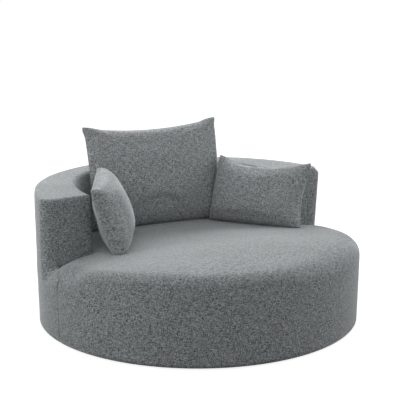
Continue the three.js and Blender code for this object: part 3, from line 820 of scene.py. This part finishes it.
def score_along_seams(bm, farthest_y):
    """Cuts edges into a cloth along the line of both side seams."""
    nearest_y = SEAM_FOOT[1] - 0.05
    across = (SEAM_TOP[1] - SEAM_TURN[1], SEAM_TURN[0] - SEAM_TOP[0])
    for side in (-1, 1):
        for place, way in (((side * SEAM_TOP[0], SEAM_TOP[1], 0), (side * across[0], across[1], 0)),
                           ((0, SEAM_FOOT[1], 0), (0, 1, 0))):
            faces = []
            for face in bm.faces:
                centre = face.calc_center_median()
                if nearest_y < centre.y < farthest_y and side * centre.x > NEAR_THE_SIDE:
                    faces.append(face)
            edges = dict.fromkeys(e for face in faces for e in face.edges)
            verts = dict.fromkeys(v for face in faces for v in face.verts)
            slice_at(bm, place, way, faces + list(edges) + list(verts))


# Drum
SEAT_ROWS, RIM_ROWS, SIDE_ROWS, HEM_ROWS = 42, 14, 22, 3
TOP_LEVEL = 0.999


def seat_foam_block(material):
    """The seat's foam: crowned like the cloth that lies on it, flat below, cut round the back."""
    low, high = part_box("seat_foam")
    edge = high[0] / DRUM_RADIUS
    rows = [(edge * i / 30, 1.0) for i in range(31)] + [(edge * i / 6, 0.0) for i in range(6, -1, -1)]
    piece = spun("seat_foam_block", rows, steps=120)
    points = points_of(piece.data)
    x, y = points[:, 0] * DRUM_RADIUS, points[:, 1] * DRUM_RADIUS
    from_corner = np.hypot(np.abs(x) - SEAM_TOP[0], y - SEAM_TOP[1])
    top = seat_height_at(x, y) - FOAM_DEPTH - 0.016 * between(0.05, 0, from_corner)
    move_points(piece.data, np.stack([x, y, np.where(points[:, 2] > 0.5, top, low[2])], axis=1))
    cut_for_back(piece, -0.0006)
    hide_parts("seat_foam")
    return dress(piece, material, "chair_body")


def drum_rows():
    """Rows of the drum's cloth by share and level: the seat, its rim, the side and the hem."""
    rim_share = SLACK_RIM_WIDTH / DRUM_RADIUS
    flat = 1 - rim_share
    rows = [(flat * i / SEAT_ROWS, 1.0) for i in range(SEAT_ROWS + 1)]
    rows += [(flat + rim_share * math.sin(math.pi / 2 * i / RIM_ROWS), 1.0) for i in range(1, RIM_ROWS + 1)]
    rows += [(1.0, 1 - i / SIDE_ROWS) for i in range(1, SIDE_ROWS + 1)]
    rows += [(1 - HEM_DEPTH / DRUM_RADIUS * i / HEM_ROWS, 0.0) for i in range(1, HEM_ROWS + 1)]
    return rows


def lay_drum_cloth(mesh):
    """Maps the seat outwards from its middle by length of cloth over the rim, and the side round it."""
    turns = np.linspace(0, math.pi / 2, RIM_ROWS + 1)
    flat = DRUM_RADIUS - SLACK_RIM_WIDTH
    rolled = np.cumsum(np.hypot(np.diff(SLACK_RIM_WIDTH * np.sin(turns)),
                                np.diff(SLACK_RIM_DROP * np.cos(turns))))
    share_stops = np.append(0, (flat + SLACK_RIM_WIDTH * np.sin(turns)) / DRUM_RADIUS)
    cloth_stops = np.append([0, flat], flat + rolled)

    def lay(corners, centres, normals):
        share = np.hypot(corners[:, 0], corners[:, 1])
        run = np.interp(share, share_stops, cloth_stops) / np.maximum(share, 1e-9)
        round_u = round_the_axis(corners, centres, DRUM_RADIUS)
        side_map = np.stack([round_u, corners[:, 2] * SIDE_CLOTH], axis=1)
        return np.where(centres[:, 2:] > TOP_LEVEL, corners[:, :2] * run[:, None], side_map)

    lay_cloth(mesh, lay)


def shape_drum(mesh):
    """Brings the drum's cloth from share and level to its real size."""
    points = points_of(mesh)
    share = np.minimum(np.hypot(points[:, 0], points[:, 1]), 1)
    angle = np.arctan2(points[:, 1], points[:, 0])
    on_top = points[:, 2] > TOP_LEVEL
    rim = plain_seat_height(1.0, angle)
    height = np.where(on_top, plain_seat_height(share, angle),
                      HEM_HEIGHT + points[:, 2] * (rim - HEM_HEIGHT))
    radius = share * drum_radius_at(np.minimum(height, rim))
    x, y = radius * np.cos(angle), radius * np.sin(angle)
    move_points(mesh, np.stack([x, y, height - np.where(on_top, seat_tuck(x, y), 0)], axis=1))


def is_under_the_corner(centre):
    """Whether a bit of the drum's cloth gives way to the back's outer panel."""
    beside = SEAM_FOOT[1] < centre.y < BACK_END_Y + 0.09 and abs(centre.x) > NEAR_THE_SIDE
    return beside and beyond_seam(centre) > 0


def drum_upholstery(material):
    """The seat's cloth and the drum's front in one piece, tucked under the back."""
    piece = spun("seat_upholstery", drum_rows(), steps=240)
    mesh = piece.data
    lay_drum_cloth(mesh)
    shape_drum(mesh)
    with reshaping(mesh) as bm:
        score_along_seams(bm, BACK_END_Y + 0.10)
        taken = [face for face in bm.faces if is_under_the_corner(face.calc_center_median())]
        bmesh.ops.delete(bm, geom=taken, context="FACES")
    points, normals = points_of(mesh), normals_of(mesh)
    held = between(HEM_HEIGHT, HEM_HEIGHT + 0.06, points[:, 2])
    wave = 0.0011 * soft_waves(points, 0.26, 11) + 0.0006 * soft_waves(points, 0.09, 12)
    move_points(mesh, points + normals * (wave * held - seam_dip(points))[:, None])
    add_wall(piece, CLOTH_THICKNESS)
    cut_for_back(piece, 0.0015)
    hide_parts("seat_cover")
    return dress(piece, material, "chair_body")


# Crescent back
def crescent_mesh(name, voxel, lowered=0.0, with_corners=False):
    """The back's rough body in one even mesh, its top lowered, or with its two front corner blocks."""
    low = HEM_HEIGHT - 0.03
    piece = piece_from(name, crescent_slab(
        DRUM_RADIUS, BACK_INNER_RADIUS + BACK_LEAN / 2, BACK_END_Y, OUTER_CORNER, INNER_CORNER,
        low=low, high=BACK_TOP - lowered))
    if with_corners:
        for side in (-1, 1):
            join_into(piece, piece_from("corner_block", front_corner(side, low)))
    even = piece.modifiers.new("even cloth", "REMESH")
    even.mode = "VOXEL"
    even.voxel_size = voxel
    apply_modifiers(piece)
    return piece


def back_foam_layer(material):
    piece = crescent_mesh("back_foam_layer", 0.014, lowered=0.010)
    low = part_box("back_foam")[0][2]
    with reshaping(piece.data) as bm:
        slice_at(bm, (0, 0, low), (0, 0, 1), clear_behind=True)
    points = drawn_onto(points_of(piece.data), back_distance, FOAM_DEPTH)
    points[:, 2] = np.maximum(points[:, 2], low)
    move_points(piece.data, points)
    add_wall(piece, 0.010)
    apply_modifiers(piece)
    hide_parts("back_foam")
    return dress(piece, material, "chair_body")


def is_inside_the_drum(centre):
    """Whether a bit of the back's cloth lies under the seat, or below the deck away from the outer side."""
    if centre.y < BACK_END_Y - 0.009 and beyond_seam(centre) < 0:
        return True
    return centre.z <= DECK_HEIGHT - DECK_LAP and math.hypot(centre.x, centre.y) < DRUM_RADIUS - 0.014


def turn_hem_in(mesh):
    with reshaping(mesh) as bm:
        low = [e for e in bm.edges if e.is_boundary and all(v.co.z < HEM_HEIGHT + 1e-4 for v in e.verts)]
        for _ in range(2):
            low = only(bmesh.types.BMEdge, bmesh.ops.extrude_edge_only(bm, edges=low)["geom"])
            for vert in {v for e in low for v in e.verts}:
                radius = math.hypot(vert.co.x, vert.co.y)
                vert.co.xy *= (radius - HEM_DEPTH / 2) / radius
        bmesh.ops.recalc_face_normals(bm, faces=bm.faces)


def lay_back_cloth(mesh):
    """Maps the outer and the inner face round their own axes, the ends straight, the top across."""
    inner_apart, end_apart = 3, 6

    def lay(corners, centres, normals):
        outer_u = round_the_axis(corners, centres, DRUM_RADIUS)
        inner_u = round_the_axis(corners, centres, BACK_INNER_RADIUS, BACK_CENTRE_Y)
        outward = normals[:, 0] * centres[:, 0] + normals[:, 1] * centres[:, 1] > 0
        on_end = (normals[:, 1] < -0.75) & (centres[:, 1] < BACK_END_Y + 0.03)
        on_top = normals[:, 2] > 0.72
        u = np.where(outward, outer_u, inner_u + inner_apart)
        u = np.where(on_end, corners[:, 0] + end_apart, u)
        across = np.hypot(corners[:, 0], corners[:, 1]) - 0.1
        return np.stack([np.where(on_top, outer_u, u), np.where(on_top, across, corners[:, 2])], axis=1)

    lay_cloth(mesh, lay)


def side_seam(side):
    """Down the arm's front face, over the seat's shoulder, and down the drum's side to the hem."""
    start, turn = np.array(SEAM_TOP), np.array(SEAM_TURN)
    bend = seat_height_at(*start) + 0.001
    path = [(start[0], start[1] + SEAM_DIP, z) for z in np.linspace(BACK_TOP - 0.018, bend, 40)]
    for share in np.linspace(0.04, 1, 16):
        x, y = start + (turn - start) * share
        path.append((x, y, seat_height_at(x, y) - SEAM_DIP))
    for share in np.linspace(0.15, 0.9, 6):
        x = turn[0] + (SEAM_FOOT[0] - 0.0008 - turn[0]) * share
        path.append((x, turn[1], seat_height_at(x, turn[1]) - SEAM_DIP * (1 - share)))
    for z in np.linspace(path[-1][2] - 0.006, HEM_HEIGHT, 36):
        radius = float(drum_radius_at(z)) - SEAM_DIP
        path.append((math.sqrt(radius ** 2 - turn[1] ** 2), turn[1], z))
    return [(side * x, y, z) for x, y, z in path]


def back_upholstery(material):
    """The back's cloth: down to the hem outside, down to the deck inside, with one soft top edge."""
    piece = crescent_mesh("back_upholstery", 0.0065, with_corners=True)
    mesh = piece.data
    with reshaping(mesh) as bm:
        slice_at(bm, (0, 0, HEM_HEIGHT), (0, 0, 1), clear_behind=True)
        slice_at(bm, (0, 0, DECK_HEIGHT - DECK_LAP), (0, 0, 1))
        slice_at(bm, (0, SEAM_FOOT[1], 0), (0, 1, 0), clear_behind=True)
        score_along_seams(bm, BACK_END_Y)
        hidden = [face for face in bm.faces if is_inside_the_drum(face.calc_center_median())]
        bmesh.ops.delete(bm, geom=hidden, context="FACES")
    points = drawn_onto(points_of(mesh), back_cloth_distance)
    points[points[:, 2] < HEM_HEIGHT + 1e-4, 2] = HEM_HEIGHT
    waves = 0.0012 * soft_waves(points, 0.30, 21) + 0.0006 * soft_waves(points, 0.10, 22)
    held = between(HEM_HEIGHT, HEM_HEIGHT + 0.05, points[:, 2])
    shift = waves * held - seam_dip(points)
    move_points(mesh, points + slope_of(back_cloth_distance, points) * shift[:, None])
    turn_hem_in(mesh)
    mesh.shade_smooth()
    lay_back_cloth(mesh)
    add_wall(piece, CLOTH_THICKNESS)
    apply_modifiers(piece)
    for side in (-1, 1):
        join_into(piece, tube("side_seam", side_seam(side), SEAM_ROLL))
    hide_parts("back_cover")
    return dress(piece, material, "chair_body")


# Cushions
def cushion_place(size):
    """Where a cushion stands: its lower edge on the seat, leant back, then turned."""
    reach = BACK_INNER_RADIUS - size["standoff"]
    bearing = size["arc"] / BACK_INNER_RADIUS
    x, y = -reach * math.sin(bearing), BACK_CENTRE_Y + reach * math.cos(bearing)
    height = float(plain_seat_height(np.hypot(x, y) / DRUM_RADIUS, math.atan2(y, x))) - size["sink"]
    return (Matrix.Translation((x, y, height)) @ Matrix.Rotation(bearing + size["twist"], 4, "Z")
            @ Matrix.Rotation(-size["lean"], 4, "X") @ Matrix.Translation((0, 0, size["height"] / 2)))


def placed(points, place):
    return points @ np.array(place.to_3x3()).T + np.array(place.translation)


def cushion_blank(name, size):
    """Two flat panels sewn together all round, barely apart in the middle, standing upright."""
    spacing, bulge = 0.011, 0.012
    bm = bmesh.new()
    columns, rows = round(size["width"] / spacing), round(size["height"] / spacing)
    bmesh.ops.create_grid(bm, x_segments=columns, y_segments=rows, size=0.5,
                          matrix=Matrix.Rotation(math.pi / 2, 4, "X"))
    span = max(v.co.x for v in bm.verts)
    bmesh.ops.scale(bm, vec=(size["width"] / 2 / span, 1, size["height"] / 2 / span), verts=bm.verts)
    front = bm.verts[:]
    twin = bmesh.ops.duplicate(bm, geom=bm.verts[:] + bm.edges[:] + bm.faces[:])["geom"]
    for panel, side in ((front, -1), (only(bmesh.types.BMVert, twin), 1)):
        for vert in panel:
            u, w = 2 * vert.co.x / size["width"], 2 * vert.co.z / size["height"]
            vert.co.y = side * bulge * max(1 - u * u, 0) * max(1 - w * w, 0)
            if max(abs(u), abs(w)) > ON_EDGE:
                vert.co.y = 0
    bmesh.ops.remove_doubles(bm, verts=bm.verts, dist=1e-6)
    bmesh.ops.recalc_face_normals(bm, faces=bm.faces)
    if bm.calc_volume(signed=True) < 0:
        bmesh.ops.reverse_faces(bm, faces=bm.faces)
    return piece_from(name, bm)


def plump_form(size, u, w, side):
    """The stuffed cushion's plain form: knife-edged, its edges drawn in between the corners."""
    side_draw = np.where(u < 0, size["left_draw"], size["right_draw"])
    end_draw = np.where(w < 0, size["bottom_draw"], size["top_draw"])
    blunt = 1 - size["blunt"] * np.abs(u * w) ** 5
    x = u * (size["width"] / 2 - side_draw * (1 - w ** 2) * u ** 2) * blunt
    z = w * (size["height"] / 2 - end_draw * (1 - u ** 2) * w ** 2) * blunt
    front, rear = size["front"] * (1 - size["front_sag"] * w), size["rear"] * (1 - size["rear_sag"] * w)
    swell = np.clip((1 - u ** 2) * (1 - w ** 2), 0, 1) ** size["knife"]
    y = side * np.where(side < 0, front, rear) * swell
    return np.stack([x, y, z + size["tilt"] * u * (1 + w) / 2], axis=1)


def stuffed(piece, volume):
    """Blows the sewn panels up as a cushion, so that the cloth wrinkles as it draws in."""
    frames = 24
    cloth = piece.modifiers.new("stuffing", "CLOTH")
    ways = cloth.settings
    ways.quality = 6
    ways.mass = 0.2
    ways.air_damping = 3
    ways.tension_stiffness = ways.compression_stiffness = 25
    ways.tension_damping = ways.compression_damping = 15
    ways.shear_stiffness = 8
    ways.shear_damping = 8
    ways.bending_stiffness = 1.2
    ways.bending_damping = 2
    ways.use_pressure = True
    ways.uniform_pressure_force = 4
    ways.use_pressure_volume = True
    ways.target_volume = volume
    ways.effector_weights.gravity = 0
    cloth.collision_settings.use_collision = False
    cloth.point_cache.frame_start = 1
    cloth.point_cache.frame_end = frames
    for moment in range(1, frames + 1):
        scene.frame_set(moment)
    apply_modifiers(piece)
    scene.frame_set(1)


def fitted(points, u, w, size):
    """Brings a stuffed shape back to the cushion's own width, height and thickness."""
    points = points - points.mean(axis=0)
    corner = (np.abs(u) > ON_EDGE) & (np.abs(w) > ON_EDGE)
    wide = np.abs(points[corner, 0]).mean() * 2
    high = np.abs(points[corner, 2]).mean() * 2
    thick = points[:, 1].max() - points[:, 1].min()
    thickness = size["front"] + size["rear"]
    return points * np.array([size["width"] / wide, thickness / thick, size["height"] / high])


def eased(mesh, values, rounds):
    """Evens a value at each point with its neighbours'."""
    ends = read_values(mesh.edges, "vertices", 2, np.int64)
    first, second = ends.T
    count = np.bincount(ends.ravel(), minlength=len(values))[:, None] + 1.0
    for _ in range(rounds):
        total = values.copy()
        np.add.at(total, first, values[second])
        np.add.at(total, second, values[first])
        values = total / count
    return values


def simulated_drift(piece, size, u, w, side):
    """How the simulated cloth departs from the plain form, eased and capped."""
    thickness = size["front"] + size["rear"]
    even = dict(size, front=thickness / 2, rear=thickness / 2, front_sag=0, rear_sag=0, tilt=0)
    stuffed(piece, size["width"] * size["height"] * thickness * 0.5)
    drift = fitted(points_of(piece.data), u, w, size) - plump_form(even, u, w, side)
    cap = np.array([0.004, size["swell"], 0.004])
    return np.clip(eased(piece.data, drift, 3), -cap, cap)


def pushed_clear(points, distance, gap=0.0008, give=0.004):
    """Points are pushed out of a body along its slope, with a soft bend where contact begins."""
    apart = distance(points) - gap
    soft = 0.5 * (apart + np.sqrt(apart ** 2 + 4 * give ** 2))
    shift = np.where(apart < 0.06, soft - apart, 0) * between(0.06, 0.02, apart)
    return points + slope_of(distance, points, 0.001) * shift[:, None]


def distance_to(piece):
    """Signed distance to a finished piece, negative inside it."""
    mesh = piece.data
    tree = BVHTree.FromPolygons([v.co for v in mesh.vertices], [p.vertices for p in mesh.polygons])

    def distance(points):
        found = np.full(len(points), 1.0)
        for i, point in enumerate(points):
            near, normal, _, _ = tree.find_nearest(Vector(point), 0.12)
            if near is not None:
                away = Vector(point) - near
                found[i] = away.length if away.dot(normal) > 0 else -away.length
        return found

    return distance


def fill_cushion(node, cover, place, material):
    """The filling, a finger's width smaller all round than the cover's inside."""
    filling = stand(node + "_filling_pad", cover.data.copy())
    local = placed(points_of(filling.data), place.inverted())
    thinner = np.clip(1 - 0.007 / np.maximum(np.abs(local[:, 1]), 1e-5), 0.25, 1)
    local *= np.stack([np.full(len(local), 0.965), thinner, np.full(len(local), 0.955)], axis=1)
    move_points(filling.data, placed(local, place))
    filling.data.shade_smooth()
    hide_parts(node + "_filling")
    dress(filling, material, node)


def pucker(piece, size):
    """Small gathers along the sewn edges, and deeper creases that run in from the corners."""
    mesh, seed = piece.data, size["seed"]
    x, z = (read_values(mesh.attributes[label].data, "value") for label in ("flat_x", "flat_z"))
    from_side, from_end = size["width"] / 2 - np.abs(x), size["height"] / 2 - np.abs(z)
    inwards = np.minimum(from_side, from_end)
    run = np.where(from_side < from_end, z, x)
    apart = between(0, 0.02, np.abs(from_side - from_end))
    ripple = np.sin(run * 390 + 2.1 * np.sin(run * 37 + seed)) * (0.55 + 0.45 * np.sin(run * 71 + 3 * seed))
    gathers = 0.0011 * ripple * np.exp(-inwards / 0.017) * between(0, 0.005, inwards) * apart
    reach = np.hypot(from_side, from_end)
    way = np.arctan2(from_end, from_side)
    lobes = np.sin(way * 9 + seed + 1.7 * np.sign(x) + 0.9 * np.sign(z))
    creases = 0.0026 * lobes * np.exp(-reach / 0.042) * between(0, 0.010, inwards)
    move_points(mesh, points_of(mesh) + normals_of(mesh) * (gathers + creases)[:, None])


def border_path(piece):
    """The points of a cushion's sewn edge, in order all round."""
    bm = bmesh.new()
    bm.from_mesh(piece.data)
    border = bm.verts.layers.float.get("border")
    ring = {}
    for edge in bm.edges:
        if all(v[border] > 0.999 for v in edge.verts):
            a, b = (v.index for v in edge.verts)
            ring.setdefault(a, []).append(b)
            ring.setdefault(b, []).append(a)
    order, last, here = [next(iter(ring))], None, next(iter(ring))
    while True:
        ahead = [n for n in ring[here] if n != last][0]
        if ahead == order[0]:
            break
        order.append(ahead)
        last, here = here, ahead
    bm.verts.ensure_lookup_table()
    path = [bm.verts[i].co.copy() for i in order]
    bm.free()
    return path


def bevelled_block(bm, size, place, radius, segments):
    block = Matrix.Translation(place) @ Matrix.Diagonal((*size, 1))
    verts = bmesh.ops.create_cube(bm, size=1, matrix=block)["verts"]
    edges = list(dict.fromkeys(e for v in verts for e in v.link_edges))
    bmesh.ops.bevel(bm, geom=edges, offset=radius, offset_type="OFFSET", affect="EDGES", segments=segments,
                    profile=0.5, material=-1)


def close_zip(node, size, edge, place, material):
    """The zip's coil in the bottom seam, with its slider and pull at one end."""
    back = place.inverted()
    low, half = -size["height"] * 0.40, size["width"] * 0.36
    seam = [p for p in edge if (back @ p).z < low and abs((back @ p).x) < half]
    seam.sort(key=lambda p: (back @ p).x)
    lift = place.to_3x3() @ Vector((0, 0, 0.0012))
    coil = tube(node + "_zip_coil", [p + lift for p in seam], 0.0022)
    bm = bmesh.new()
    bevelled_block(bm, (0.010, 0.0062, 0.0048), (0, 0, 0), radius=0.0011, segments=2)
    bevelled_block(bm, (0.019, 0.0052, 0.0012), (0.013, 0, 0.0008), radius=0.0004, segments=1)
    turned = place.copy()
    turned.translation = seam[-1] + lift
    bmesh.ops.transform(bm, matrix=turned, verts=bm.verts)
    join_into(coil, piece_from(node + "_zip_slider", bm))
    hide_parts(node + "_zip")
    dress(coil, material, node)


def cushion(node, size, finishes, supports):
    """One loose cushion: its stuffed cover with the sewn edge, its filling inside and its zip below."""
    piece = cushion_blank(node + "_stuffed", size)
    flat = points_of(piece.data)
    u, w = 2 * flat[:, 0] / size["width"], 2 * flat[:, 2] / size["height"]
    side = np.where(flat[:, 1] > 0, 1.0, -1.0)

    def lay(corners, centres, normals):
        rear_apart = np.where(centres[:, 1] > 0, 2, 0)
        return np.stack([corners[:, 0] + rear_apart + size["seed"], corners[:, 2]], axis=1)

    lay_cloth(piece.data, lay)
    on_edge = (np.abs(u) > ON_EDGE) | (np.abs(w) > ON_EDGE)
    for label, values in (("border", on_edge), ("flat_x", flat[:, 0]), ("flat_z", flat[:, 2])):
        kept = piece.data.attributes.new(label, "FLOAT", "POINT")
        kept.data.foreach_set("value", values.astype(np.float32))
    shape = plump_form(size, u, w, side)
    shape = shape + simulated_drift(piece, size, u, w, side)
    place = cushion_place(size)
    points = placed(shape, place)
    for distance in supports:
        points = pushed_clear(points, distance)
    move_points(piece.data, points)
    fill_cushion(node, piece, place, finishes["wadding"])
    finer = piece.modifiers.new("finer cloth", "SUBSURF")
    finer.levels = finer.render_levels = 1
    apply_modifiers(piece)
    pucker(piece, size)
    piece.data.shade_smooth()
    edge = border_path(piece)
    join_into(piece, tube(node + "_roll", edge, 0.0016, closed=True))
    close_zip(node, size, edge, place, finishes["zip_plastic"])
    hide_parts(node + "_cover")
    return dress(piece, finishes["cushion_cloth"], node)


# Camera, floor and light
def set_camera():
    data = bpy.data.cameras.new("chair_camera")
    data.sensor_width = 36
    data.lens = 135
    data.clip_end = 100
    ahead, right = Vector(CAMERA_AHEAD).normalized(), Vector(CAMERA_RIGHT).normalized()
    turned = Matrix((right, right.cross(ahead), -ahead)).transposed().to_4x4()
    turned.translation = CAMERA_PLACE
    scene.camera = stand("chair_camera", data)
    scene.camera.matrix_world = turned


def lay_floor():
    bm = bmesh.new()
    bmesh.ops.create_circle(bm, cap_ends=True, segments=64, radius=FLOOR_RADIUS)
    floor = piece_from("studio_floor", bm)
    material = bpy.data.materials.new("white_floor")
    material.use_nodes = True
    material.node_tree.nodes.clear()
    bench = Bench(material.node_tree)
    shown = bench.node("BsdfDiffuse", Color=(FLOOR_SHADE, FLOOR_SHADE, FLOOR_SHADE, 1)).outputs[0]
    strength = bench.weighed(bench.seen_straight(), FLOOR_GLOW)
    glow = bench.node("Emission", Color=(1, 1, 1, 1), Strength=strength)
    both = bench.node("AddShader")
    bench.join(shown, both.inputs[0])
    bench.join(glow.outputs[0], both.inputs[1])
    bench.node("OutputMaterial", Surface=both.outputs[0])
    floor.data.materials.append(material)


def set_world():
    """White where it is seen, and dimmer where it lights the chair."""
    world = bpy.data.worlds.new("studio")
    scene.world = world
    world.use_nodes = True
    bench = Bench(world.node_tree)
    background = world.node_tree.nodes["Background"].inputs
    background["Color"].default_value = (1, 1, 1, 1)
    strength = bench.total(bench.weighed(bench.seen_straight(), 1 - WORLD_LEVEL), WORLD_LEVEL)
    bench.join(strength, background["Strength"])


def soft_lamp(name, place, target, width, height, power):
    data = bpy.data.lights.new(name, "AREA")
    data.shape = "RECTANGLE"
    data.size, data.size_y = width, height
    data.energy = power
    aim = (Vector(target) - Vector(place)).to_track_quat("-Z", "Y")
    stand(name, data).matrix_world = Matrix.Translation(place) @ aim.to_matrix().to_4x4()


# The chair
scene.view_settings.view_transform = "Standard"
set_camera()
lay_floor()
set_world()
for lamp in LAMPS:
    soft_lamp(*lamp)

weave = chenille_weave_group()
finishes = inner_finishes()
finishes["upholstery_cloth"] = chenille("grey_chenille", weave, (0.246, 0.264, 0.268), fleck=1.2, slub=1.4)
# The cushions' cloth is the same chenille as the drum's. Its colour is painted about a tenth lighter, as
# painted light for the stronger light from above that falls on the cushions.
finishes["cushion_cloth"] = chenille("cushion_chenille_painted_lighter", weave, (0.270, 0.289, 0.293), fleck=1.0, slub=1.2)
dress_frame_parts(finishes)

drum_upholstery(finishes["upholstery_cloth"])
seat_foam_block(finishes["foam"])
back_upholstery(finishes["upholstery_cloth"])
back_foam_layer(finishes["foam"])
resting = [seat_distance, back_distance]
behind = distance_to(cushion("back_cushion", BACK_CUSHION, finishes, resting))
cushion("left_pillow", LEFT_PILLOW, finishes, resting + [behind])
cushion("right_pillow", RIGHT_PILLOW, finishes, resting + [behind])
